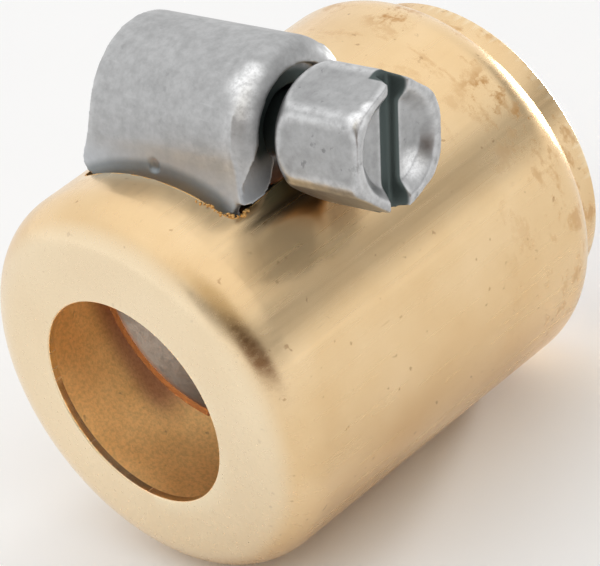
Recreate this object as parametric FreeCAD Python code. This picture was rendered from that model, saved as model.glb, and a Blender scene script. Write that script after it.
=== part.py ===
import FreeCAD, Part

import math
import os

# Hose-end sleeve with a built-in worm-drive clamp, in millimetres.
# The sleeve axis runs along +Y from the front face at Y = 0; the clamp stands at +Z and the
# slotted hex head of its screw points to +X. The clamp sits a few degrees askew in its window,
# so everything that belongs to it is drawn in its own square frame and turned into place.

V = FreeCAD.Vector
X_AXIS = V(1, 0, 0)
Y_AXIS = V(0, 1, 0)
Z_AXIS = V(0, 0, 1)
ORIGIN = V(0, 0, 0)

# Sleeve: a drawn brass shell
SLEEVE_R = 10.75
WALL = 0.45
NIPPLE_HOLE_R = 5.80
HOLE_EDGE_R = 0.10
FRONT_CORNER_R = 2.70
SHOULDER_R = 2.40
SHOULDER_Y = 24.35
COLLAR_R = 8.90
COLLAR_EDGE_R = 0.15
SLEEVE_LEN = 25.90
WINDOW_X0 = -4.64
WINDOW_X1 = 5.20
WINDOW_HALF = 5.20
WINDOW_CORNER_R = 0.50
WINDOW_Z0 = 5.0
WINDOW_DEPTH = 8.0

# Clamp frame: where it sits along the sleeve and how far it is turned about Z
CLAMP_Y = 9.56
CLAMP_YAW = 3.7

# Worm screw
SCREW_Z = 11.80
HEAD_AF = 6.35
HEAD_X0 = 6.70
HEAD_X1 = 12.33
HEAD_RIM_R = 3.24
HEAD_CORNER_R = 3.54
HEAD_BACK_R = 2.55
HEAD_BACK_ROUND = 1.55
FRONT_CHAMFER_TILT = 48.0
HEX_TURN = 73.5
DISH_R = 2.78
DISH_FLOOR_R = 2.10
DISH_DEPTH = 0.68
DRIVE_SLOT_MOUTH_W = 1.50
DRIVE_SLOT_FLOOR_W = 0.80
DRIVE_SLOT_DEPTH = 1.10
NECK_R = 1.60
CORE_R = 2.55
CREST_R = 3.30
THREAD_PITCH = 2.10
THREAD_X0 = -2.90
THREAD_X1 = 4.35
RIDGE_ROOT_W = 0.95
RIDGE_CREST_W = 0.55
TIP_X = -3.35
TIP_CHAMFER = 0.45

# Clamp housing: sheet arch with flared feet and a rolled mouth at the head end
SHEET = 0.60
ARCH_R = 4.34
FOOT_HALF = 4.94
FLARE_R = 5.51
LEG_LOW_Z = 5.00
EAR_X0 = -5.20
LEG_X0 = -4.38
LEG_X1 = 4.94
HOUSING_X1 = 6.13
MOUTH_ROLL_R = 1.25
STAKE_R = 0.36
STAKE_DEPTH = 0.12
STAKE_X = -0.10
STAKE_Z = 10.95

# Outline of the housing's far end in side view (X, Z): upright above, belled into an ear at the foot
TAIL_END_OUTLINE = [
    (-3.90, 17.20), (-3.90, 15.40), (-3.92, 14.20), (-4.04, 13.10), (-4.32, 12.10),
    (-4.70, 11.30), (-4.96, 10.66), (-4.92, 10.22), (-4.70, 9.94), (-4.38, 9.78),
]
# Slanted front corner of the side walls in side view (X, Z), from the leg upwards
FRONT_CORNER = [(4.94, 9.36), (5.10, 9.62), (6.13, 11.10)]

# Mouth: the opening in the rolled end as (half width, Z), widening below the screw axis
MOUTH_R = 3.10
MOUTH_SIDES = [(3.10, 12.40), (3.80, 11.50), (4.16, 10.85), (4.46, 10.10), (4.75, 9.45)]
# Cheek plate across the mouth: upright behind the screw head, its skirt curving outwards
CHEEK_X = 5.40
CHEEK_T = 0.40
CHEEK_BEND_Z = 10.90
CHEEK_BEND_R = 2.31
CHEEK_SWEEP = 36.0
CHEEK_LOBE_R = 2.35
CHEEK_LOBE_Y = 3.60
CHEEK_LOBE_Z = 11.97
CHEEK_DISC_R = 3.40
NECK_HOLE_R = 1.95
CHEEK_SLOT_HALF = 1.60

# Band loop, concentric about its own axis just above the sleeve axis
LOOP_Z = 2.00
BAND_T = 0.45
BAND_HALF = 3.97
FIXED_R = 5.40
FIXED_START = -30.0
FIXED_END = 188.0
SADDLE_R = 5.85
SADDLE_T = 0.50
SADDLE_X0 = -4.20
SADDLE_X1 = 4.70
TAIL_R = 6.45
TAIL_START = -166.0
TAIL_END = 86.0
TAIL_CORNER_R = 1.60
NOTCH_W = 1.30
NOTCH_HALF = 2.25
NOTCH_FIRST = -6
NOTCH_LAST = 4


def arc(centre, radius, start, end, plane):
    """Arc edge; angles in degrees, plane is a pair of unit vectors."""
    def at(angle):
        a = math.radians(angle)
        return centre + plane[0] * (radius * math.cos(a)) + plane[1] * (radius * math.sin(a))

    return Part.Arc(at(start), at((start + end) / 2), at(end)).toShape()


def closed_face(edges):
    """Face bounded by arcs given in order, with straight lines filling the gaps between them."""
    chain = []
    for index, edge in enumerate(edges):
        chain.append(edge)
        start = edge.lastVertex(True).Point
        end = edges[(index + 1) % len(edges)].firstVertex(True).Point
        if start.distanceToPoint(end) > 1e-6:
            chain.append(Part.makeLine(start, end))
    return Part.Face(Part.Wire(chain))


def polygon_face(points):
    return Part.Face(Part.makePolygon(points + points[:1]))


def box(x0, x1, y0, y1, z0, z1):
    return Part.makeBox(x1 - x0, y1 - y0, z1 - z0, V(x0, y0, z0))


def edges_where(shape, test):
    return [edge for edge in shape.Edges if test(edge)]


def clamp_to_part(shape):
    """Turn a shape drawn in the clamp's square frame into the part frame."""
    moved = shape.copy()
    moved.rotate(ORIGIN, Z_AXIS, CLAMP_YAW)
    moved.translate(V(0, CLAMP_Y, 0))
    return moved


def make_sleeve():
    """Thin sleeve: rounded front with a nipple hole, rounded shoulder, short collar, window."""
    plane = (X_AXIS, Y_AXIS)
    front = V(SLEEVE_R - FRONT_CORNER_R, FRONT_CORNER_R, 0)
    back = V(SLEEVE_R - SHOULDER_R, SHOULDER_Y - SHOULDER_R, 0)
    lip_r = COLLAR_R - WALL
    inner_shoulder = SHOULDER_R - WALL
    outer_stop = math.degrees(math.acos((COLLAR_R - back.x) / SHOULDER_R))
    inner_stop = math.degrees(math.acos((lip_r - back.x) / inner_shoulder))
    section = closed_face([
        Part.makeLine(V(NIPPLE_HOLE_R, WALL, 0), V(NIPPLE_HOLE_R, 0, 0)),
        arc(front, FRONT_CORNER_R, -90, 0, plane),
        arc(back, SHOULDER_R, 0, outer_stop, plane),
        Part.makeLine(V(COLLAR_R, SLEEVE_LEN, 0), V(lip_r, SLEEVE_LEN, 0)),
        arc(back, inner_shoulder, inner_stop, 0, plane),
        arc(front, FRONT_CORNER_R - WALL, 0, -90, plane),
    ])
    shell = section.revolve(ORIGIN, Y_AXIS, 360)

    def at_hole(edge):
        return abs(edge.BoundBox.YMax) < 1e-4 and abs(edge.BoundBox.XMax - NIPPLE_HOLE_R) < 1e-3

    def at_collar_end(edge):
        return edge.BoundBox.YMin > SLEEVE_LEN - 1e-4 and edge.BoundBox.XMax > lip_r - 1e-3

    shell = shell.makeFillet(HOLE_EDGE_R, edges_where(shell, at_hole))
    shell = shell.makeFillet(COLLAR_EDGE_R, edges_where(shell, at_collar_end))

    window = box(
        WINDOW_X0, WINDOW_X1, -WINDOW_HALF, WINDOW_HALF, WINDOW_Z0, WINDOW_Z0 + WINDOW_DEPTH
    )

    def upright(edge):
        return edge.BoundBox.ZLength > WINDOW_DEPTH - 1e-3

    window = window.makeFillet(WINDOW_CORNER_R, edges_where(window, upright))
    return shell.cut(clamp_to_part(window))


def arch_body(inset):
    """Solid under the arch surface, inset from the outside by the given amount."""
    plane = (Y_AXIS, Z_AXIS)
    radius = ARCH_R - inset
    flare = FLARE_R + inset
    foot = FOOT_HALF - inset
    end_x = HOUSING_X1 - inset
    start_x = EAR_X0 if inset == 0 else EAR_X0 - 1
    sweep = math.degrees(math.acos((flare - (foot - radius)) / flare))
    foot_z = SCREW_Z - flare * math.sin(math.radians(sweep))
    section = closed_face([
        arc(V(start_x, radius + flare, SCREW_Z), flare, 180 + sweep, 180, plane),
        arc(V(start_x, 0, SCREW_Z), radius, 0, 180, plane),
        arc(V(start_x, -radius - flare, SCREW_Z), flare, 0, -sweep, plane),
    ])
    body = section.extrude(V(end_x - start_x, 0, 0))

    def on_mouth(edge):
        flat = edge.BoundBox.XMin > end_x - 1e-4
        return flat and edge.BoundBox.ZMax > foot_z + 1e-3

    body = body.makeFillet(MOUTH_ROLL_R - inset, edges_where(body, on_mouth))
    legs = box(start_x, LEG_X1 + inset, -foot, foot, LEG_LOW_Z, foot_z)
    return body.fuse(legs)


def across(face):
    """Cutter made by drawing a side-view face right across the housing."""
    return face.extrude(V(0, 2 * (FOOT_HALF + 1), 0))


def make_housing():
    near_y = -FOOT_HALF - 1
    far_x = HOUSING_X1 + 1
    top_z = SCREW_Z + ARCH_R + 1
    shell = arch_body(0).cut(arch_body(SHEET))

    opening = Part.makeCylinder(MOUTH_R, far_x - CHEEK_X, V(CHEEK_X, 0, SCREW_Z), X_AXIS)
    right = [V(CHEEK_X, half, z) for half, z in MOUTH_SIDES]
    left = [V(CHEEK_X, -half, z) for half, z in reversed(MOUTH_SIDES)]
    skirt = polygon_face(right + left).extrude(V(far_x - CHEEK_X, 0, 0))
    shell = shell.cut(opening.fuse(skirt))

    corner = [V(x, near_y, z) for x, z in FRONT_CORNER]
    corner += [V(far_x, near_y, FRONT_CORNER[-1][1]), V(far_x, near_y, LEG_LOW_Z)]
    corner.append(V(LEG_X1, near_y, LEG_LOW_Z))
    shell = shell.cut(across(polygon_face(corner))).fuse(make_cheek())

    outline = Part.BSplineCurve()
    outline.interpolate([V(x, near_y, z) for x, z in TAIL_END_OUTLINE])
    end_edges = [outline.toShape()]
    points = [
        V(LEG_X0, near_y, TAIL_END_OUTLINE[-1][1]), V(LEG_X0, near_y, LEG_LOW_Z),
        V(EAR_X0 - 1, near_y, LEG_LOW_Z), V(EAR_X0 - 1, near_y, top_z),
        V(TAIL_END_OUTLINE[0][0], near_y, top_z),
    ]
    for start, end in zip(points, points[1:]):
        end_edges.append(Part.makeLine(start, end))
    shell = shell.cut(across(Part.Face(Part.Wire(Part.__sortEdges__(end_edges)))))

    seat = Part.makeCylinder(SADDLE_R + SADDLE_T, -2 * near_y, V(0, near_y, LOOP_Z), Y_AXIS)
    shell = shell.cut(seat)
    leg_y = ARCH_R + FLARE_R - math.sqrt(FLARE_R ** 2 - (SCREW_Z - STAKE_Z) ** 2)
    for side in (-1, 1):
        start = V(STAKE_X, side * (leg_y - STAKE_DEPTH), STAKE_Z)
        shell = shell.cut(Part.makeCylinder(STAKE_R, 1.5, start, V(0, side, 0)))
    return clamp_to_part(shell.removeSplitter())


def cheek_block():
    """Cheek plate before it is trimmed: its side profile drawn right across the housing."""
    plane = (X_AXIS, Z_AXIS)
    half = FOOT_HALF
    centre = V(CHEEK_X + CHEEK_BEND_R, -half, CHEEK_BEND_Z)
    back_x = CHEEK_X - CHEEK_T
    top_z = SCREW_Z + ARCH_R
    profile = closed_face([
        arc(centre, CHEEK_BEND_R, 180, 180 + CHEEK_SWEEP, plane),
        arc(centre, CHEEK_BEND_R + CHEEK_T, 180 + CHEEK_SWEEP, 180, plane),
        Part.makeLine(V(back_x, -half, top_z), V(CHEEK_X, -half, top_z)),
    ])
    return profile.extrude(V(0, 2 * half, 0))


def make_cheek():
    """Plate across the mouth with two rounded lobes beside a slot for the screw neck."""
    x0 = CHEEK_X - CHEEK_T - 1
    depth = HOUSING_X1 - x0
    disc = Part.makeCylinder(CHEEK_DISC_R, depth, V(x0, 0, SCREW_Z), X_AXIS)
    disc = disc.cut(box(x0, x0 + depth, -ARCH_R, ARCH_R, LEG_LOW_Z, CHEEK_BEND_Z))
    lobes = [
        Part.makeCylinder(CHEEK_LOBE_R, depth, V(x0, side * CHEEK_LOBE_Y, CHEEK_LOBE_Z), X_AXIS)
        for side in (-1, 1)
    ]
    neck = Part.makeCylinder(NECK_HOLE_R, depth, V(x0, 0, SCREW_Z), X_AXIS)
    slot = box(x0, x0 + depth, -CHEEK_SLOT_HALF, CHEEK_SLOT_HALF, LEG_LOW_Z, SCREW_Z)
    outline = disc.fuse(lobes).cut(neck.fuse(slot))
    return cheek_block().common(outline).common(arch_body_below_roll())


def arch_body_below_roll():
    """Everything under the arch surface, carried straight on past the rolled end."""
    plane = (Y_AXIS, Z_AXIS)
    sweep = math.degrees(math.acos((FLARE_R - (FOOT_HALF - ARCH_R)) / FLARE_R))
    section = closed_face([
        arc(V(0, ARCH_R + FLARE_R, SCREW_Z), FLARE_R, 180 + sweep, 180, plane),
        arc(V(0, 0, SCREW_Z), ARCH_R, 0, 180, plane),
        arc(V(0, -ARCH_R - FLARE_R, SCREW_Z), FLARE_R, 0, -sweep, plane),
    ])
    return section.extrude(V(HOUSING_X1 + 1, 0, 0))


def ring(radius, thickness, start, end, half):
    """Curved strap about the loop axis; angles run from +Z towards +X."""
    plane = (Z_AXIS, X_AXIS)
    centre = V(0, -half, LOOP_Z)
    outer = radius + thickness
    section = closed_face([
        arc(centre, outer, start, end, plane),
        arc(centre, radius, end, start, plane),
    ])
    return section.extrude(V(0, 2 * half, 0))


def at_angle(shape, angle):
    """Swing a shape drawn at the top of the loop round the loop axis, towards +X."""
    moved = shape.copy()
    moved.rotate(V(0, 0, LOOP_Z), Y_AXIS, angle)
    return moved


def make_saddle():
    width = FOOT_HALF
    strap = ring(SADDLE_R, SADDLE_T, -80, 80, width)
    return clamp_to_part(strap.common(box(SADDLE_X0, SADDLE_X1, -width, width, LOOP_Z, SCREW_Z)))


def make_fixed_band():
    return clamp_to_part(ring(FIXED_R, BAND_T, FIXED_START, FIXED_END, BAND_HALF))


def make_tail_band():
    """Free end of the band: slanted notches for the worm and rounded end corners."""
    strap = ring(TAIL_R, BAND_T, TAIL_START, TAIL_END, BAND_HALF)
    pitch_r = TAIL_R + BAND_T / 2
    step = math.degrees(THREAD_PITCH / pitch_r)
    low = LOOP_Z + TAIL_R - 0.5
    high = LOOP_Z + TAIL_R + BAND_T + 0.5
    lead = math.degrees(math.atan(THREAD_PITCH / (math.pi * (CORE_R + CREST_R))))
    notch = box(-NOTCH_W / 2, NOTCH_W / 2, -NOTCH_HALF, NOTCH_HALF, low, high)
    notch.rotate(ORIGIN, Z_AXIS, -lead)
    for index in range(NOTCH_FIRST, NOTCH_LAST + 1):
        strap = strap.cut(at_angle(notch, index * step))
    for side in (-1, 1):
        y0 = side * (BAND_HALF - TAIL_CORNER_R)
        square = box(-TAIL_CORNER_R, 1, min(y0, side * 5), max(y0, side * 5), low, high)
        round_off = Part.makeCylinder(TAIL_CORNER_R, high - low, V(-TAIL_CORNER_R, y0, low))
        strap = strap.cut(at_angle(square.cut(round_off), TAIL_END))
    return clamp_to_part(strap)


def make_thread():
    """Right-hand helical ridge whose crest crosses straight below the screw axis at X = 0."""
    turns_before = math.ceil(-THREAD_X0 / THREAD_PITCH) + 1
    turns = turns_before + math.ceil(THREAD_X1 / THREAD_PITCH) + 1
    root_r = CORE_R - 0.15
    helix = Part.makeHelix(THREAD_PITCH, turns * THREAD_PITCH, root_r)
    half_root = RIDGE_ROOT_W / 2
    half_crest = RIDGE_CREST_W / 2
    profile = Part.makePolygon([
        V(root_r, 0, -half_root),
        V(CREST_R, 0, -half_crest),
        V(CREST_R, 0, half_crest),
        V(root_r, 0, half_root),
        V(root_r, 0, -half_root),
    ])
    ridge = Part.Wire(helix.Edges).makePipeShell([profile], True, True)
    ridge.translate(V(0, 0, -turns_before * THREAD_PITCH))
    ridge.rotate(ORIGIN, Y_AXIS, 90)
    ridge.translate(V(0, 0, SCREW_Z))
    zone = Part.makeCylinder(
        CREST_R + 1, THREAD_X1 - THREAD_X0, V(THREAD_X0, 0, SCREW_Z), X_AXIS
    )
    return ridge.common(zone)


def make_head():
    """Hex head, round at the back and chamfered in front, dished, with a tapering driver slot."""
    corner_r = HEAD_AF / math.sqrt(3)
    hexagon = []
    for index in range(6):
        angle = math.radians(HEX_TURN + 60 * index)
        y = corner_r * math.cos(angle)
        z = SCREW_Z + corner_r * math.sin(angle)
        hexagon.append(V(HEAD_X0, y, z))
    prism = polygon_face(hexagon).extrude(V(HEAD_X1 - HEAD_X0, 0, 0))

    drop = HEAD_CORNER_R - HEAD_BACK_ROUND
    back_angle = 180 - math.degrees(math.asin((HEAD_BACK_R - drop) / HEAD_BACK_ROUND))
    back_x = HEAD_X0 - HEAD_BACK_ROUND * math.cos(math.radians(back_angle))
    chamfer = (HEAD_CORNER_R - HEAD_RIM_R) * math.tan(math.radians(FRONT_CHAMFER_TILT))
    centre = V(back_x, 0, SCREW_Z + drop)
    turned = closed_face([
        Part.makeLine(V(HEAD_X0, 0, SCREW_Z), V(HEAD_X0, 0, SCREW_Z + HEAD_BACK_R)),
        arc(centre, HEAD_BACK_ROUND, back_angle, 90, (X_AXIS, Z_AXIS)),
        Part.makeLine(
            V(HEAD_X1 - chamfer, 0, SCREW_Z + HEAD_CORNER_R), V(HEAD_X1, 0, SCREW_Z + HEAD_RIM_R)
        ),
        Part.makeLine(
            V(HEAD_X1, 0, SCREW_Z + DISH_R), V(HEAD_X1 - DISH_DEPTH, 0, SCREW_Z + DISH_FLOOR_R)
        ),
        Part.makeLine(V(HEAD_X1 - DISH_DEPTH, 0, SCREW_Z), V(HEAD_X0, 0, SCREW_Z)),
    ]).revolve(V(0, 0, SCREW_Z), X_AXIS, 360)
    head = prism.common(turned)

    half_mouth = DRIVE_SLOT_MOUTH_W / 2
    half_floor = DRIVE_SLOT_FLOOR_W / 2
    floor_x = HEAD_X1 - DRIVE_SLOT_DEPTH
    slot = polygon_face([
        V(floor_x, -corner_r, SCREW_Z - half_floor), V(HEAD_X1, -corner_r, SCREW_Z - half_mouth),
        V(HEAD_X1, -corner_r, SCREW_Z + half_mouth), V(floor_x, -corner_r, SCREW_Z + half_floor),
    ]).extrude(V(0, 2 * corner_r, 0))
    slot.rotate(V(0, 0, SCREW_Z), X_AXIS, HEX_TURN)
    return head.cut(slot)


def make_screw():
    core = Part.makeCylinder(
        CORE_R, THREAD_X1 - TIP_X - TIP_CHAMFER, V(TIP_X + TIP_CHAMFER, 0, SCREW_Z), X_AXIS
    )
    tip = Part.makeCone(
        CORE_R - TIP_CHAMFER, CORE_R, TIP_CHAMFER, V(TIP_X, 0, SCREW_Z), X_AXIS
    )
    neck = Part.makeCylinder(NECK_R, HEAD_X0 - THREAD_X1, V(THREAD_X1, 0, SCREW_Z), X_AXIS)
    screw = core.fuse([tip, neck, make_thread(), make_head()])
    return clamp_to_part(screw)


PIECES = {
    "sleeve_shell": make_sleeve,
    "clamp_housing": make_housing,
    "clamp_saddle": make_saddle,
    "worm_screw": make_screw,
    "band_fixed_run": make_fixed_band,
    "band_slotted_tail": make_tail_band,
}

os.makedirs("parts", exist_ok=True)
for name, build in PIECES.items():
    shape = build()
    solid = shape.Solids[0]
    solid.exportStep("parts/" + name + ".step")
    print(name, len(shape.Solids), solid.isValid(), round(solid.Volume, 2), solid.BoundBox)
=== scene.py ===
import math
import random

import bmesh
import bpy
from mathutils import Matrix, Vector, noise
from mathutils.kdtree import KDTree


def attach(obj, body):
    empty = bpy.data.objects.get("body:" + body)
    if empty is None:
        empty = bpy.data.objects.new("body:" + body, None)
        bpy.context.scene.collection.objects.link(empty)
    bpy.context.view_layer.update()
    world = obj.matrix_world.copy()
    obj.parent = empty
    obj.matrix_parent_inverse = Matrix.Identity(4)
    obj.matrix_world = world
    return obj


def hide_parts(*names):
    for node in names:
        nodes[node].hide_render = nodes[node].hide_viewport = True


MM = 0.001

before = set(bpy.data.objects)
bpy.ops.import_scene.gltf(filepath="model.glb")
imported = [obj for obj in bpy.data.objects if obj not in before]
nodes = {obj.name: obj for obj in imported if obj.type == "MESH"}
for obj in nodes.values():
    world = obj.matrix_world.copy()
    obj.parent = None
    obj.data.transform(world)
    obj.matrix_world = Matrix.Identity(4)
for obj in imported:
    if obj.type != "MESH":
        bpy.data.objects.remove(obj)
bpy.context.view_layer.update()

# Sleeve, in mm
SLEEVE_R, WALL = 10.75, 0.45
HOLE_R, HOLE_EDGE_R = 5.80, 0.10
FRONT_R, SHOULDER_R, SHOULDER_Y = 2.70, 2.40, 24.35
COLLAR_R, COLLAR_EDGE_R, SLEEVE_LEN = 8.90, 0.15, 25.90
SLEEVE_STEPS = 400

# Where the inner wall's own look stops: short of the collar's rim, the hole's edge and the shoulder
RIM_DEPTH, HOLE_MARGIN, FRONT_WALL_END = 1.2, 0.02, 20.0

# Window in the sleeve's side, in the clamp's own frame
WINDOW_X0, WINDOW_X1, WINDOW_HALF, WINDOW_CORNER = -4.64, 5.20, 5.20, 0.50
WINDOW_LOW, WINDOW_HIGH = 5.0, 13.0
LIP_R, LIP_OFFSET, LIP_SINK, LIP_STEP, LIP_SIDES = 0.04, 0.03, 0.03, 0.12, 8
BURR_SEED, BURR_COUNT, BURR_SIZES, BURR_SCATTER = 7, 46, (0.035, 0.12), 0.06
BURR_LINE = [(2.60, -5.34), (3.90, -5.30), (4.90, -5.16), (5.28, -4.70), (5.34, -4.10)]

# Clamp: its frame sits along the sleeve and is turned a little about Z
CLAMP_Y, CLAMP_YAW = 9.56, math.radians(3.7)
TO_PART = Matrix.Translation((0, CLAMP_Y, 0)) @ Matrix.Rotation(CLAMP_YAW, 4, "Z")
SCREW_Z = 11.80
SCREW_ORIGIN = (0, CLAMP_Y, SCREW_Z)
SLEEVE_AXIS = Vector((0, 1, 0))
UP = Vector((0, 0, 1))

# Angles about the screw axis, from clamp +Y towards +Z: the driver slot, and the hex flat painted darker
# as shade
SLOT_TURN = math.radians(73.5)
LOW_FLAT_TURN = math.radians(223.5)

# Floor: half its width, and its gap below the sleeve, in mm
FLOOR_HALF, FLOOR_GAP, FLOOR_Y = 1500.0, 0.05, 12

# Camera: lens in mm, place in metres and the directions of the picture's right and up
LENS, SENSOR = 238.7, 36.0
CAMERA_PLACE = Vector((0.13597, -0.10127, 0.10207))
CAMERA_RIGHT = Vector((0.71733, 0.66204, -0.21712))
CAMERA_UP = Vector((-0.21063, 0.50311, 0.83817))

# Lamp behind the collar: place and size in metres, power in watts, spread in degrees
FILL_PLACE, FILL_SIZE, FILL_POWER, FILL_SPREAD = (0, 0.048, 0.0), 0.014, 0.0042, 36.0
WORLD_STRENGTH = 1.13

# Voxel size in mm and smoothing passes of the softened steel parts
HOUSING_VOXEL, HOUSING_PASSES = 0.08, 4
SCREW_VOXEL, SCREW_PASSES = 0.078, 24

# Wear on outer edges sharper than the angle, and how far it reaches in mm
WEAR_MIN_ANGLE, WEAR_REACH, WEAR_STEP = math.radians(24.0), 0.42, 0.06

# Places painted with a highlight on the steel, and places stained on the brass: centre in the clamp frame
# and reach, in mm
PAINTED_HIGHLIGHTS_HOUSING = [
    ((5.35, -2.40, 15.30), 1.15),
    ((5.50, -2.85, 14.70), 0.85),
    ((5.55, -3.05, 14.10), 0.70),
    ((5.45, -1.65, 15.60), 0.85),
]
PAINTED_HIGHLIGHTS_SCREW = [((12.05, -2.20, 14.45), 0.70), ((12.12, -1.45, 14.80), 0.50), ((11.70, 1.05, 10.05), 1.15)]
STAINED_BRASS = [((9.80, 12.15, 5.80), 2.2), ((8.35, 11.15, 7.60), 2.4), ((2.00, 12.45, 10.50), 2.2)]

# Tones of tarnish, stains, specks and scratches, of edge wear with painted sheen, and of painted shade,
# shadow, reflection and sheen
PAINTED_SHADE_SLATE = (0.105, 0.130, 0.126)
PAINTED_SHADE_BROWN = (0.22, 0.11, 0.06)
PAINTED_COOL_REFLECTION = (0.54, 0.575, 0.62)
STAIN = (0.52, 0.265, 0.085)
SPECK = (0.42, 0.25, 0.12)
BRASS_SCRATCH = (0.55, 0.36, 0.18)
PAINTED_FACE_SHEEN = (0.93, 0.82, 0.62)
BRASS_EDGE_WEAR_AND_SHEEN = (0.95, 0.83, 0.60)
PAINTED_BAND_SHADOW = (0.33, 0.125, 0.065)
PAINTED_HEAD_SHADE = (0.62, 0.27, 0.08)


def clamp_direction(x, y, z):
    return TO_PART.to_3x3() @ Vector((x, y, z))


CLAMP_X = clamp_direction(1, 0, 0)
SLOT_NORMAL = clamp_direction(0, math.sin(SLOT_TURN), -math.cos(SLOT_TURN))
LOW_FLAT = clamp_direction(0, math.cos(LOW_FLAT_TURN), math.sin(LOW_FLAT_TURN))


# ---------------------------------------------------------------- mesh helpers
def new_object(name, mesh):
    piece = bpy.data.objects.new(name, mesh)
    bpy.context.scene.collection.objects.link(piece)
    return piece


def mesh_piece(name, bm, crease_deg=35.0):
    """Object in metres from a bmesh drawn in millimetres, smooth but for its real edges."""
    bmesh.ops.scale(bm, vec=(MM, MM, MM), verts=bm.verts)
    mesh = bpy.data.meshes.new(name)
    bm.to_mesh(mesh)
    bm.free()
    smooth(mesh, crease_deg)
    return new_object(name, mesh)


def smooth(mesh, crease_deg):
    mesh.polygons.foreach_set("use_smooth", [True] * len(mesh.polygons))
    mesh.set_sharp_from_angle(angle=math.radians(crease_deg))


def apply_modifiers(piece):
    graph = bpy.context.evaluated_depsgraph_get()
    done = bpy.data.meshes.new_from_object(piece.evaluated_get(graph))
    done.name = piece.name
    piece.modifiers.clear()
    piece.data = done


def arc(centre, radius, start, end, steps):
    """Points (r, y) on an arc, angles in degrees from +r towards +y."""
    out = []
    for i in range(steps + 1):
        a = math.radians(start + (end - start) * i / steps)
        out.append((centre[0] + radius * math.cos(a), centre[1] + radius * math.sin(a)))
    return out


def lathe(bm, profile, steps):
    """Closed ring of revolution about +Y from a closed (r, y) profile."""
    rings = []
    for i in range(steps):
        a = 2 * math.pi * i / steps
        s, c = math.sin(a), math.cos(a)
        rings.append([bm.verts.new((r * s, y, r * c)) for r, y in profile])
    n = len(profile)
    for i in range(steps):
        a, b = rings[i], rings[(i + 1) % steps]
        for j in range(n):
            bm.faces.new((a[j], a[(j + 1) % n], b[(j + 1) % n], b[j]))
    bmesh.ops.recalc_face_normals(bm, faces=bm.faces)


def sharp_edge_tree(source):
    """Points along the outward-facing sharp edges of a CAD solid, ready for nearest lookups."""
    bm = bmesh.new()
    bm.from_mesh(source.data)
    bmesh.ops.remove_doubles(bm, verts=bm.verts, dist=1e-7)
    points = []
    for edge in bm.edges:
        if len(edge.link_faces) != 2 or edge.calc_face_angle_signed() < WEAR_MIN_ANGLE:
            continue
        start, end = edge.verts[0].co, edge.verts[1].co
        steps = max(1, round((end - start).length / (WEAR_STEP * MM)))
        points += [start.lerp(end, i / steps) for i in range(steps + 1)]
    bm.free()
    tree = KDTree(len(points))
    for i, point in enumerate(points):
        tree.insert(point, i)
    tree.balance()
    return tree


def mark_wear(piece, source):
    """Store how near each vertex is to a sharp outer edge, for edge wear and painted edge sheen: 1 on the
    edge, 0 beyond the reach of the wear.
    """
    tree = sharp_edge_tree(source)
    reach = WEAR_REACH * MM
    values = [max(0.0, 1.0 - tree.find(vert.co)[2] / reach) for vert in piece.data.vertices]
    layer = piece.data.attributes.new("wear", "FLOAT", "POINT")
    layer.data.foreach_set("value", values)


# ---------------------------------------------------------------- materials
def material(name):
    mat = bpy.data.materials.new(name)
    mat.use_nodes = True
    tree = mat.node_tree
    shader = tree.nodes["Principled BSDF"]
    return mat, tree, shader


def object_coords(tree, scale=(1, 1, 1), turn=(0, 0, 0)):
    coords = tree.nodes.new("ShaderNodeTexCoord")
    mapping = tree.nodes.new("ShaderNodeMapping")
    mapping.inputs["Scale"].default_value = scale
    mapping.inputs["Rotation"].default_value = turn
    tree.links.new(coords.outputs["Object"], mapping.inputs["Vector"])
    return mapping.outputs["Vector"]


def noise_tex(tree, vector, scale, detail=3.0, rough=0.5):
    tex = tree.nodes.new("ShaderNodeTexNoise")
    tex.inputs["Scale"].default_value = scale
    tex.inputs["Detail"].default_value = detail
    tex.inputs["Roughness"].default_value = rough
    tree.links.new(vector, tex.inputs["Vector"])
    return tex.outputs["Fac"]


def ramp(tree, fac, stops):
    made = tree.nodes.new("ShaderNodeValToRGB")
    points = made.color_ramp.elements
    while len(points) < len(stops):
        points.new(0.5)
    for point, (pos, colour) in zip(points, stops):
        point.position = pos
        point.color = (*colour, 1) if len(colour) == 3 else colour
    tree.links.new(fac, made.inputs["Fac"])
    return made.outputs["Color"]


def grey(v):
    return (v, v, v)


def math_node(tree, operation, a, b=None):
    made = tree.nodes.new("ShaderNodeMath")
    made.operation = operation
    for socket, value in zip(made.inputs, (a, b)):
        if value is None:
            continue
        if isinstance(value, (int, float)):
            socket.default_value = value
        else:
            tree.links.new(value, socket)
    return made.outputs[0]


def mix(tree, fac, a, b, blend="MIX"):
    made = tree.nodes.new("ShaderNodeMix")
    made.data_type = "RGBA"
    made.blend_type = blend
    for name, value in (("Factor", fac), ("A", a), ("B", b)):
        socket = next(s for s in made.inputs if s.name == name and s.enabled)
        if isinstance(value, (int, float)):
            socket.default_value = value
        elif isinstance(value, tuple):
            socket.default_value = (*value, 1)
        else:
            tree.links.new(value, socket)
    return next(s for s in made.outputs if s.enabled)


def bump(tree, heights):
    """Chain of bumps from (height socket, strength, distance in metres)."""
    normal = None
    for height, strength, distance in heights:
        made = tree.nodes.new("ShaderNodeBump")
        made.inputs["Strength"].default_value = strength
        made.inputs["Distance"].default_value = distance
        tree.links.new(height, made.inputs["Height"])
        if normal is not None:
            tree.links.new(normal, made.inputs["Normal"])
        normal = made.outputs["Normal"]
    return normal


def edge_wear_and_sheen(tree):
    """Edge mask for wear and painted edge sheen: 1 on a sharp outer edge, 0 away from it (see mark_wear).
    """
    worn = tree.nodes.new("ShaderNodeAttribute")
    worn.attribute_name = "wear"
    return worn.outputs["Fac"]


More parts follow.
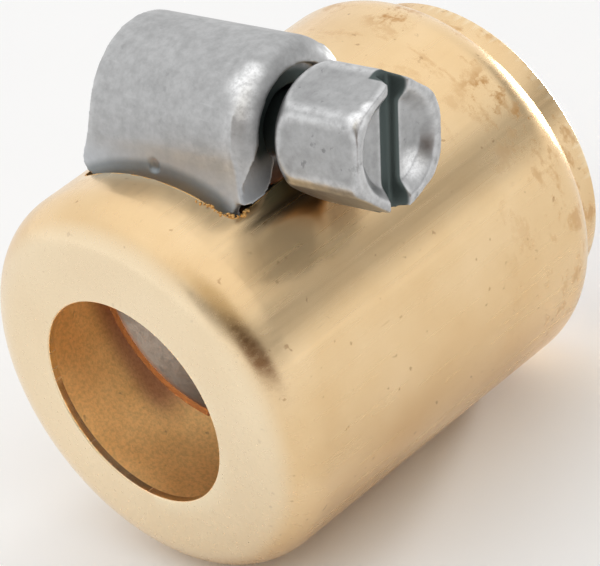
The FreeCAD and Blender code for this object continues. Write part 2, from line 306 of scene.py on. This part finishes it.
def axis_part(tree, axis, low, high):
    """Mask from 0 to 1 between two places along an axis of the row frame, in metres."""
    coords = tree.nodes.new("ShaderNodeTexCoord")
    split = tree.nodes.new("ShaderNodeSeparateXYZ")
    tree.links.new(coords.outputs["Object"], split.inputs["Vector"])
    span = tree.nodes.new("ShaderNodeMapRange")
    span.interpolation_type = "SMOOTHSTEP"
    span.inputs["From Min"].default_value = low
    span.inputs["From Max"].default_value = high
    tree.links.new(split.outputs[axis], span.inputs["Value"])
    return span.outputs["Result"]


def from_origin(tree, origin):
    """Surface place counted from an origin (mm), in the row frame."""
    coords = tree.nodes.new("ShaderNodeTexCoord")
    shift = tree.nodes.new("ShaderNodeVectorMath")
    shift.operation = "SUBTRACT"
    shift.inputs[1].default_value = Vector(origin) * MM
    tree.links.new(coords.outputs["Object"], shift.inputs[0])
    return shift.outputs["Vector"]


def along(tree, direction, origin):
    """Distance in metres past an origin (mm) along a direction, in the row frame."""
    dot = tree.nodes.new("ShaderNodeVectorMath")
    dot.operation = "DOT_PRODUCT"
    dot.inputs[1].default_value = direction
    tree.links.new(from_origin(tree, origin), dot.inputs[0])
    return dot.outputs["Value"]


def off_axis(tree, direction, origin):
    """Distance in metres from a line through an origin (mm), in the row frame."""
    cross = tree.nodes.new("ShaderNodeVectorMath")
    cross.operation = "CROSS_PRODUCT"
    cross.inputs[1].default_value = direction
    tree.links.new(from_origin(tree, origin), cross.inputs[0])
    size = tree.nodes.new("ShaderNodeVectorMath")
    size.operation = "LENGTH"
    tree.links.new(cross.outputs["Vector"], size.inputs[0])
    return size.outputs["Value"]


def fade(tree, value, low, high):
    """0 below low, 1 above high (mm), smooth between; swap them to fall instead of rise."""
    span = tree.nodes.new("ShaderNodeMapRange")
    span.interpolation_type = "SMOOTHSTEP"
    span.inputs["From Min"].default_value = low * MM
    span.inputs["From Max"].default_value = high * MM
    tree.links.new(value, span.inputs["Value"])
    return span.outputs["Result"]


def screw_painted_shade(tree):
    """Painted shade: dark slate in the driver slot, on the neck behind the head and on one flat of the
    hex.
    """
    past = along(tree, CLAMP_X, SCREW_ORIGIN)
    across_slot = math_node(tree, "ABSOLUTE", along(tree, SLOT_NORMAL, SCREW_ORIGIN))
    in_slot = math_node(
        tree, "MULTIPLY", fade(tree, across_slot, 0.76, 0.66), fade(tree, past, 10.95, 11.10)
    )
    neck = math_node(tree, "MULTIPLY", fade(tree, past, 6.95, 6.60), fade(tree, past, 4.2, 4.7))
    flat = fade(tree, along(tree, LOW_FLAT, SCREW_ORIGIN), 2.95, 3.12)
    flat = math_node(tree, "MULTIPLY", flat, 0.14)
    return math_node(tree, "MAXIMUM", math_node(tree, "MAXIMUM", in_slot, neck), flat)


def housing_painted_shade(tree):
    """Painted shade: dark slate on the cheek plate inside the mouth and along the foot beside the brass.
    """
    deep = fade(tree, along(tree, CLAMP_X, SCREW_ORIGIN), 4.2, 4.8)
    near_axis = fade(tree, off_axis(tree, CLAMP_X, SCREW_ORIGIN), 3.05, 2.55)
    low = fade(tree, along(tree, UP, SCREW_ORIGIN), -1.2, -0.2)
    mouth = math_node(tree, "MULTIPLY", math_node(tree, "MULTIPLY", deep, near_axis), low)
    foot = fade(tree, off_axis(tree, SLEEVE_AXIS, (0, 0, 0)), 11.35, 10.85)
    foot = math_node(tree, "MULTIPLY", foot, 0.55)
    return math_node(tree, "MAXIMUM", mouth, foot)


def band_edge_painted_shade(tree):
    """Painted shade: dark brown along the edge of the strip facing the front of the sleeve."""
    past = along(tree, clamp_direction(0, 1, 0), SCREW_ORIGIN)
    return math_node(tree, "MULTIPLY", fade(tree, past, -3.70, -3.95), 0.9)


def near_places(tree, places):
    """Soft mask round a few places, each a centre in the clamp frame and a reach, in mm."""
    total = None
    coords = tree.nodes.new("ShaderNodeTexCoord")
    for centre, reach in places:
        gap = tree.nodes.new("ShaderNodeVectorMath")
        gap.operation = "DISTANCE"
        gap.inputs[1].default_value = (TO_PART @ Vector(centre)) * MM
        tree.links.new(coords.outputs["Object"], gap.inputs[0])
        patch = fade(tree, gap.outputs["Value"], reach, 0.15 * reach)
        total = patch if total is None else math_node(tree, "MAXIMUM", total, patch)
    return total


def band_shadow_mask(tree):
    """Painted brown shadow on the sleeve's inner wall beside the band."""
    shade = math_node(
        tree, "MULTIPLY", axis_part(tree, "Y", 0.0062, 0.0078), axis_part(tree, "Z", -0.0082, -0.0064)
    )
    return math_node(tree, "MULTIPLY", shade, 0.85)


def head_shade_mask(tree):
    """Painted brown shade where the brass lies right under the screw head."""
    past = along(tree, CLAMP_X, SCREW_ORIGIN)
    shade = math_node(tree, "MULTIPLY", fade(tree, past, 5.2, 6.2), fade(tree, past, 10.2, 8.2))
    beside = off_axis(tree, CLAMP_X, SCREW_ORIGIN)
    shade = math_node(tree, "MULTIPLY", shade, fade(tree, beside, 5.4, 4.2))
    return math_node(tree, "MULTIPLY", shade, 0.30)


def stains(tree):
    """Faint brown stains towards the rear shoulder, and heavier ones in a few places on it."""
    patches = noise_tex(tree, object_coords(tree, (1.0, 1.6, 1.0)), 520.0, 7.0, 0.66)
    near_back = axis_part(tree, "Y", 0.0150, 0.0245)
    faint = ramp(tree, patches, [(0.545, grey(0.0)), (0.63, grey(1.0))])
    faint = math_node(tree, "MULTIPLY", faint, near_back)
    faint = math_node(tree, "MULTIPLY", faint, 0.50)
    mottle = noise_tex(tree, object_coords(tree), 1150.0, 8.0, 0.72)
    heavy = ramp(tree, mottle, [(0.50, grey(0.0)), (0.58, grey(0.75)), (0.66, grey(1.0))])
    heavy = math_node(tree, "MULTIPLY", heavy, near_places(tree, STAINED_BRASS))
    return math_node(tree, "MAXIMUM", faint, heavy)


def make_brass(name, base, dark, light, rough, grain_depth, inside=False):
    """Brass: its middle, dark and light tones, roughness limits and depth of the fine grain."""
    mat, tree, shader = material(name)
    shader.inputs["Metallic"].default_value = 1.0
    plain = object_coords(tree)
    drawn = object_coords(tree, (1.0, 0.035, 1.0))
    turned = object_coords(tree, (0.05, 1.0, 0.05))
    cloud = noise_tex(tree, plain, 190.0, 4.0)
    fine = noise_tex(tree, plain, 9000.0, 2.0)
    streak = noise_tex(tree, drawn, 3200.0, 3.0)
    rings = noise_tex(tree, turned, 2600.0, 2.0)
    colour = ramp(tree, cloud, [(0.32, dark), (0.52, base), (0.72, light)])
    stain = stains(tree)
    colour = mix(tree, stain, colour, STAIN)
    # small dark specks and short scratches all over
    dots = noise_tex(tree, plain, 2100.0, 2.0, 0.4)
    specks = ramp(tree, dots, [(0.715, grey(0.0)), (0.76, grey(0.55))])
    colour = mix(tree, specks, colour, SPECK)
    scratch = noise_tex(tree, object_coords(tree, (1.0, 0.12, 1.0), (0.5, 0.3, 0.2)), 2300.0, 2.0)
    marks = ramp(tree, scratch, [(0.745, grey(0.0)), (0.79, grey(0.30))])
    colour = mix(tree, marks, colour, BRASS_SCRATCH)
    # painted sheen: the flat front face is painted paler
    front = math_node(tree, "SUBTRACT", 1.0, axis_part(tree, "Y", 0.00015, 0.0010))
    front = math_node(tree, "MULTIPLY", front, 0.55)
    colour = mix(tree, front, colour, PAINTED_FACE_SHEEN)
    if inside:
        # painted shadow beside the band
        colour = mix(tree, band_shadow_mask(tree), colour, PAINTED_BAND_SHADOW)
        grain = noise_tex(tree, plain, 5200.0, 3.0, 0.65)
        stipple = ramp(tree, grain, [(0.36, grey(0.80)), (0.60, grey(1.0))])
        colour = mix(tree, 1.0, colour, stipple, "MULTIPLY")
    # painted shade under the screw head
    colour = mix(tree, head_shade_mask(tree), colour, PAINTED_HEAD_SHADE)
    # edge wear, also a painted pale highlight along the sharp edges
    edge = ramp(tree, edge_wear_and_sheen(tree), [(0.55, grey(0.0)), (0.95, grey(0.55))])
    colour = mix(tree, edge, colour, BRASS_EDGE_WEAR_AND_SHEEN)
    tree.links.new(colour, shader.inputs["Base Color"])
    low, high = rough
    level = ramp(tree, cloud if inside else streak, [(0.30, grey(low)), (0.72, grey(high))])
    level = mix(tree, stain, level, grey(0.5))
    tree.links.new(level, shader.inputs["Roughness"])
    waves = noise_tex(tree, plain, 330.0, 2.0)
    normal = bump(tree, [
        (waves, 0.18, 0.00005),
        (streak, 0.01 if inside else 0.10, 0.000012),
        (rings, 0.01 if inside else 0.07, 0.000010),
        (fine, grain_depth, 0.000008),
        (specks, -0.15, 0.00001),
    ])
    tree.links.new(normal, shader.inputs["Normal"])
    return mat


def make_steel(
    name, base, spread, rough, grain, grain_depth,
    tint=(1.0, 1.005, 1.01), pits=0.30, edge_wear_sheen_amount=0.30, cool_tint_amount=0.0,
    painted_shade=None, shade_colour=PAINTED_SHADE_SLATE, painted_highlights=None,
):
    """Steel: base grey, its spread, roughness limits, size and depth of the tumbled grain."""
    mat, tree, shader = material(name)
    shader.inputs["Metallic"].default_value = 1.0
    plain = object_coords(tree)

    def tone(v):
        return tuple(v * t for t in tint)

    cloud = noise_tex(tree, plain, 420.0, 7.0, 0.66)
    fine = noise_tex(tree, plain, grain, 3.0, 0.6)
    coarse = noise_tex(tree, plain, grain * 0.34, 5.0, 0.68)
    greys = [(0.34, tone(base - spread)), (0.52, tone(base)), (0.70, tone(base + spread))]
    colour = ramp(tree, cloud, greys)
    mottled = ramp(tree, coarse, [(0.36, grey(0.86)), (0.62, grey(1.0))])
    colour = mix(tree, 1.0, colour, mottled, "MULTIPLY")
    dirt = noise_tex(tree, plain, 1500.0, 4.0, 0.62)
    spots = ramp(tree, dirt, [(0.63, grey(0.0)), (0.70, grey(pits))])
    colour = mix(tree, spots, colour, tone(base * 0.38))
    scratch = noise_tex(tree, object_coords(tree, (0.10, 1.0, 1.0), (0.3, 0.4, 0.1)), 3400.0, 2.0)
    marks = ramp(tree, scratch, [(0.69, grey(0.0)), (0.75, grey(0.16))])
    colour = mix(tree, marks, colour, tone(min(1.0, base * 1.45)))
    # edges painted lighter: wear broken by the mottle, also a painted highlight along them
    broken = ramp(tree, coarse, [(0.30, grey(0.35)), (0.60, grey(1.0))])
    edge = math_node(tree, "MULTIPLY", edge_wear_and_sheen(tree), broken)
    edge = math_node(tree, "MULTIPLY", edge, edge_wear_sheen_amount)
    colour = mix(tree, edge, colour, tone(0.86))
    low, high = rough
    level = ramp(tree, coarse, [(0.30, grey(high)), (0.70, grey(low))])
    # painted highlights: bright grey patches where the lamps' highlights fall
    if painted_highlights:
        bright = near_places(tree, painted_highlights)
        highlight_tone = ramp(tree, fine, [(0.35, tone(0.72)), (0.60, tone(0.98))])
        colour = mix(tree, bright, colour, highlight_tone)
    if cool_tint_amount:
        # painted reflection: a bluish tone on the steel near the brass, towards the foot
        cool_tint = fade(tree, off_axis(tree, SLEEVE_AXIS, (0, 0, 0)), 13.4, 11.0)
        cool_tint = math_node(tree, "MULTIPLY", cool_tint, cool_tint_amount)
        colour = mix(tree, cool_tint, colour, PAINTED_COOL_REFLECTION)
    # painted shade: darker tone where the shade falls, and rougher there too
    if painted_shade:
        shade_fac = painted_shade(tree)
        colour = mix(tree, shade_fac, colour, shade_colour)
        level = mix(tree, shade_fac, level, grey(0.55))
    tree.links.new(colour, shader.inputs["Base Color"])
    tree.links.new(level, shader.inputs["Roughness"])
    normal = bump(tree, [
        (coarse, grain_depth * 0.8, 0.00003),
        (fine, grain_depth, 0.00001),
        (spots, -0.10, 0.00001),
        (marks, -0.10, 0.00001),
    ])
    tree.links.new(normal, shader.inputs["Normal"])
    return mat


brass = make_brass(
    "brass", (0.83, 0.605, 0.345), (0.79, 0.555, 0.30), (0.87, 0.65, 0.39), (0.20, 0.30), 0.12
)
# Inner-wall brass: rougher and stippled, its colour deeper orange and brighter as painted bounce light
# inside the sleeve
brass_inside_bounce_tint = make_brass(
    "brass_inside_bounce_tint", (0.94, 0.59, 0.235), (0.90, 0.535, 0.19), (0.97, 0.64, 0.275), (0.40, 0.50), 0.60,
    inside=True,
)
brass_burr = make_brass(
    "brass_burr", (0.72, 0.42, 0.15), (0.45, 0.23, 0.08), (0.90, 0.62, 0.26), (0.24, 0.40), 0.50
)
housing_steel = make_steel(
    "housing_steel", 0.50, 0.030, (0.46, 0.58), 5200.0, 0.30,
    pits=0.18, cool_tint_amount=0.65, painted_shade=housing_painted_shade, painted_highlights=PAINTED_HIGHLIGHTS_HOUSING,
)
screw_steel = make_steel(
    "screw_steel", 0.43, 0.045, (0.30, 0.42), 6000.0, 0.22,
    pits=0.55, edge_wear_sheen_amount=0.55, painted_shade=screw_painted_shade, painted_highlights=PAINTED_HIGHLIGHTS_SCREW,
)
# the band's brown tint is a painted reflection of the brass around it
band_steel = make_steel(
    "band_steel", 0.30, 0.04, (0.36, 0.50), 7000.0, 0.30,
    tint=(1.0, 0.84, 0.68), painted_shade=band_edge_painted_shade, shade_colour=PAINTED_SHADE_BROWN,
)


def assign(piece, mat):
    piece.data.materials.clear()
    piece.data.materials.append(mat)


def finish_cad(name, mat):
    """Give a CAD node that is shown as it is one material all over."""
    slots = nodes[name].data.materials
    if len(slots):
        for i in range(len(slots)):
            slots[i] = mat
    else:
        slots.append(mat)


# ---------------------------------------------------------------- sleeve
def sleeve_profile():
    """Closed (r, y) outline of the wall: outside from the hole to the collar, then back inside."""
    front = (SLEEVE_R - FRONT_R, FRONT_R)
    back = (SLEEVE_R - SHOULDER_R, SHOULDER_Y - SHOULDER_R)
    lip_r = COLLAR_R - WALL
    outer_stop = math.degrees(math.acos((COLLAR_R - back[0]) / SHOULDER_R))
    inner_r = SHOULDER_R - WALL
    inner_stop = math.degrees(math.acos((lip_r - back[0]) / inner_r))
    e, c = HOLE_EDGE_R, COLLAR_EDGE_R
    p = []
    p += arc((HOLE_R + e, e), e, 180, 270, 5)
    p += arc(front, FRONT_R, -90, 0, 26)
    p += [(SLEEVE_R, FRONT_R + (back[1] - FRONT_R) * i / 12) for i in range(1, 12)]
    p += arc(back, SHOULDER_R, 0, outer_stop, 24)
    p += arc((COLLAR_R - c, SLEEVE_LEN - c), c, 0, 90, 5)
    p += arc((lip_r + c, SLEEVE_LEN - c), c, 90, 180, 5)
    p += arc(back, inner_r, inner_stop, 0, 12)
    p += [(SLEEVE_R - WALL, back[1] + (FRONT_R - back[1]) * i / 12) for i in range(1, 12)]
    p += arc(front, FRONT_R - WALL, 0, -90, 12)
    p += [(HOLE_R, WALL)]
    out = [p[0]]
    for q in p[1:]:
        if math.dist(q, out[-1]) > 1e-4:
            out.append(q)
    return out


def window_outline(out, steps):
    """Rounded outline of the window, moved outwards by out, in the clamp's frame."""
    c = WINDOW_CORNER
    outline = []
    for cx, cy, start in (
        (WINDOW_X1 - c, WINDOW_HALF - c, 0),
        (WINDOW_X0 + c, WINDOW_HALF - c, 90),
        (WINDOW_X0 + c, -WINDOW_HALF + c, 180),
        (WINDOW_X1 - c, -WINDOW_HALF + c, 270),
    ):
        outline += arc((cx, cy), c + out, start, start + 90, steps)
    return outline


def window_cutter():
    """Upright block that punches the window."""
    bm = bmesh.new()
    loop = window_outline(0.0, 8)
    low = [bm.verts.new((x, y, WINDOW_LOW)) for x, y in loop]
    high = [bm.verts.new((x, y, WINDOW_HIGH)) for x, y in loop]
    n = len(loop)
    for i in range(n):
        bm.faces.new((low[i], low[(i + 1) % n], high[(i + 1) % n], high[i]))
    bm.faces.new(list(reversed(low)))
    bm.faces.new(high)
    bmesh.ops.transform(bm, matrix=TO_PART, verts=bm.verts)
    return mesh_piece("window_cutter", bm)


def is_inside(face):
    """True on the sleeve's inner walls, short of the collar's bright rim and the hole's edge."""
    outward = Vector((face.center.x, 0, face.center.z))
    faces_axis = face.normal.dot(outward.normalized()) < -0.3
    faces_back = face.normal.y > 0.3 and face.center.y < FRONT_WALL_END * MM
    before_rim = face.center.y < (SLEEVE_LEN - RIM_DEPTH) * MM
    off_hole = outward.length > (HOLE_R + HOLE_MARGIN) * MM
    return (faces_axis or faces_back) and before_rim and off_hole


def make_sleeve():
    bm = bmesh.new()
    lathe(bm, sleeve_profile(), SLEEVE_STEPS)
    piece = mesh_piece("sleeve_skin", bm)
    cutter = window_cutter()
    cut = piece.modifiers.new("window", "BOOLEAN")
    cut.object = cutter
    cut.operation = "DIFFERENCE"
    cut.solver = "EXACT"
    apply_modifiers(piece)
    bpy.data.objects.remove(cutter)
    smooth(piece.data, 35.0)
    mark_wear(piece, nodes["sleeve_shell"])
    assign(piece, brass)
    piece.data.materials.append(brass_inside_bounce_tint)
    for face in piece.data.polygons:
        if is_inside(face):
            face.material_index = 1
    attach(piece, "sleeve_and_clamp")
    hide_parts("sleeve_shell")


def on_sleeve(x, y, lift):
    """Point a lift above the sleeve's outside, over a place given in the clamp's frame."""
    flat = TO_PART @ Vector((x, y, 0))
    return Vector((flat.x, flat.y, math.sqrt(SLEEVE_R ** 2 - flat.x ** 2) + lift))


def window_path():
    """Closed path round the window in short steps, in the clamp's frame."""
    path = window_outline(LIP_OFFSET, 6)
    closed = path + path[:1]
    fine = []
    for (x0, y0), (x1, y1) in zip(closed, closed[1:]):
        steps = max(1, round(math.hypot(x1 - x0, y1 - y0) / LIP_STEP))
        fine += [(x0 + (x1 - x0) * i / steps, y0 + (y1 - y0) * i / steps) for i in range(steps)]
    return fine


def make_window_lip():
    """Thin uneven ridge thrown up along the edge where the window was punched."""
    bm = bmesh.new()
    path = window_path()
    centres = [on_sleeve(x, y, -LIP_SINK) for x, y in path]
    n = len(centres)
    rings = []
    for i, centre in enumerate(centres):
        run = (centres[(i + 1) % n] - centres[i - 1]).normalized()
        upward = Vector((centre.x, 0, centre.z)).normalized()
        side = run.cross(upward).normalized()
        radius = LIP_R * (1 + 0.45 * noise.noise(centre * 2.1) + 0.30 * noise.noise(centre * 7.3))
        rings.append([
            bm.verts.new(centre + (side * math.cos(a) + upward * math.sin(a)) * radius)
            for a in (2 * math.pi * k / LIP_SIDES for k in range(LIP_SIDES))
        ])
    for i in range(n):
        a, b = rings[i], rings[(i + 1) % n]
        for k in range(LIP_SIDES):
            after = (k + 1) % LIP_SIDES
            bm.faces.new((a[k], a[after], b[after], b[k]))
    bmesh.ops.recalc_face_normals(bm, faces=bm.faces)
    piece = mesh_piece("window_lip", bm, 60.0)
    assign(piece, brass_burr)
    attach(piece, "sleeve_and_clamp")


def make_burrs():
    """Crumbs of brass pushed up where the housing's front foot bears on the window corner."""
    rng = random.Random(BURR_SEED)
    bm = bmesh.new()
    for _ in range(BURR_COUNT):
        t = rng.random() ** 0.6 * (len(BURR_LINE) - 1)
        i = min(int(t), len(BURR_LINE) - 2)
        (x0, y0), (x1, y1) = BURR_LINE[i], BURR_LINE[i + 1]
        x = x0 + (x1 - x0) * (t - i) + rng.gauss(0, BURR_SCATTER)
        y = y0 + (y1 - y0) * (t - i) + rng.gauss(0, BURR_SCATTER)
        size = rng.uniform(*BURR_SIZES)
        spin = Matrix.Rotation(rng.uniform(0, math.tau), 4, "Z")
        shape = Matrix.Diagonal((size, size * rng.uniform(0.4, 0.8), size * rng.uniform(0.4, 0.9), 1))
        made = bmesh.ops.create_icosphere(bm, subdivisions=2, radius=1.0)
        place = Matrix.Translation(on_sleeve(x, y, size * 0.15)) @ spin @ shape
        for vert in made["verts"]:
            vert.co *= 1 + 0.40 * noise.noise(vert.co * 1.7 + Vector((x, y, t)) * 9)
            vert.co = place @ vert.co
    piece = mesh_piece("edge_burrs", bm, 50.0)
    assign(piece, brass_burr)
    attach(piece, "sleeve_and_clamp")


# ---------------------------------------------------------------- softened steel parts
def soften(node_name, piece_name, voxel, passes, mat, body):
    """Finely remeshed copy of a CAD solid, its edges worn round as on a stamped or turned part."""
    source = nodes[node_name]
    piece = new_object(piece_name, source.data.copy())
    weld = piece.modifiers.new("weld", "WELD")
    weld.merge_threshold = 1e-7
    grid = piece.modifiers.new("grid", "REMESH")
    grid.mode = "VOXEL"
    grid.voxel_size = voxel * MM
    grid.adaptivity = 0.0
    rounder = piece.modifiers.new("round", "SMOOTH")
    rounder.factor = 0.5
    rounder.iterations = passes
    apply_modifiers(piece)
    smooth(piece.data, 60.0)
    mark_wear(piece, source)
    assign(piece, mat)
    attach(piece, body)
    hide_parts(node_name)


make_sleeve()
make_window_lip()
make_burrs()
soften(
    "clamp_housing", "housing_skin", HOUSING_VOXEL, HOUSING_PASSES, housing_steel,
    "sleeve_and_clamp",
)
soften("worm_screw", "screw_skin", SCREW_VOXEL, SCREW_PASSES, screw_steel, "screw")
for name in ("clamp_saddle", "band_fixed_run", "band_slotted_tail"):
    finish_cad(name, band_steel)


# ---------------------------------------------------------------- studio
def make_floor():
    bm = bmesh.new()
    bmesh.ops.create_grid(bm, x_segments=8, y_segments=8, size=FLOOR_HALF)
    bmesh.ops.translate(bm, vec=(0, FLOOR_Y, -SLEEVE_R - FLOOR_GAP), verts=bm.verts)
    floor = mesh_piece("floor", bm)
    mat, tree, shader = material("floor")
    coords = object_coords(tree)
    fac = noise_tex(tree, coords, 30.0)
    tree.links.new(ramp(tree, fac, [(0.3, grey(0.95)), (0.7, grey(0.97))]), shader.inputs["Base Color"])
    shader.inputs["Roughness"].default_value = 0.9
    shader.inputs["Specular IOR Level"].default_value = 0.1
    assign(floor, mat)


def area_light(name, location, target, size, power, spread):
    lamp = bpy.data.lights.new(name, "AREA")
    lamp.shape = "DISK"
    lamp.size = size
    lamp.energy = power
    lamp.spread = math.radians(spread)
    light = bpy.data.objects.new(name, lamp)
    bpy.context.scene.collection.objects.link(light)
    light.location = location
    aim = Vector(target) - Vector(location)
    light.rotation_mode = "QUATERNION"
    light.rotation_quaternion = aim.to_track_quat("-Z", "Y")


def make_world():
    """Light tent: bright below and overhead, with a soft dim belt between the table and the top light."""
    world = bpy.data.worlds.new("studio")
    bpy.context.scene.world = world
    world.use_nodes = True
    tree = world.node_tree
    back = tree.nodes["Background"]
    coords = tree.nodes.new("ShaderNodeTexCoord")
    split = tree.nodes.new("ShaderNodeSeparateXYZ")
    tree.links.new(coords.outputs["Generated"], split.inputs["Vector"])
    height = math_node(tree, "MULTIPLY_ADD", split.outputs["Z"], 0.5)
    height.node.inputs[2].default_value = 0.5
    belt = ramp(tree, height, [
        (0.50, grey(1.00)),
        (0.56, grey(0.86)),
        (0.64, grey(0.42)),
        (0.72, grey(0.38)),
        (0.79, grey(0.88)),
        (0.90, grey(1.00)),
        (1.00, grey(1.00)),
    ])
    # soft dark cards round the lens
    card = None
    for direction, start, stop, shade in (
        ((0.74, -0.63, 0.16), 0.895, 0.965, (0.20, 0.115, 0.07)),
        ((0.50, -0.63, 0.58), 0.90, 0.985, (0.66, 0.60, 0.48)),
    ):
        toward = tree.nodes.new("ShaderNodeVectorMath")
        toward.operation = "DOT_PRODUCT"
        toward.inputs[1].default_value = Vector(direction).normalized()
        tree.links.new(coords.outputs["Generated"], toward.inputs[0])
        tone = ramp(tree, toward.outputs["Value"], [(start, grey(1.0)), (stop, shade)])
        card = tone if card is None else mix(tree, 1.0, card, tone, "MULTIPLY")
    # the far left is as bright as the table
    side = ramp(tree, split.outputs["X"], [(-0.45, grey(0.90)), (-0.05, grey(0.0))])
    belt = mix(tree, 1.0, belt, side, "LIGHTEN")
    sky = mix(tree, 1.0, belt, card, "MULTIPLY")
    tree.links.new(sky, back.inputs["Color"])
    back.inputs["Strength"].default_value = WORLD_STRENGTH


def make_camera():
    data = bpy.data.cameras.new("camera")
    data.lens = LENS
    data.sensor_width = SENSOR
    data.clip_start, data.clip_end = 0.01, 10.0
    camera = bpy.data.objects.new("camera", data)
    bpy.context.scene.collection.objects.link(camera)
    right = CAMERA_RIGHT.normalized()
    back = right.cross(CAMERA_UP).normalized()
    up = back.cross(right)
    pose = Matrix((right, up, back)).transposed().to_4x4()
    pose.translation = CAMERA_PLACE
    camera.matrix_world = pose
    bpy.context.scene.camera = camera


make_floor()
make_world()
area_light("rear_fill", FILL_PLACE, (0, 0, 0), FILL_SIZE, FILL_POWER, FILL_SPREAD)
make_camera()
bpy.context.scene.view_settings.view_transform = "Standard"
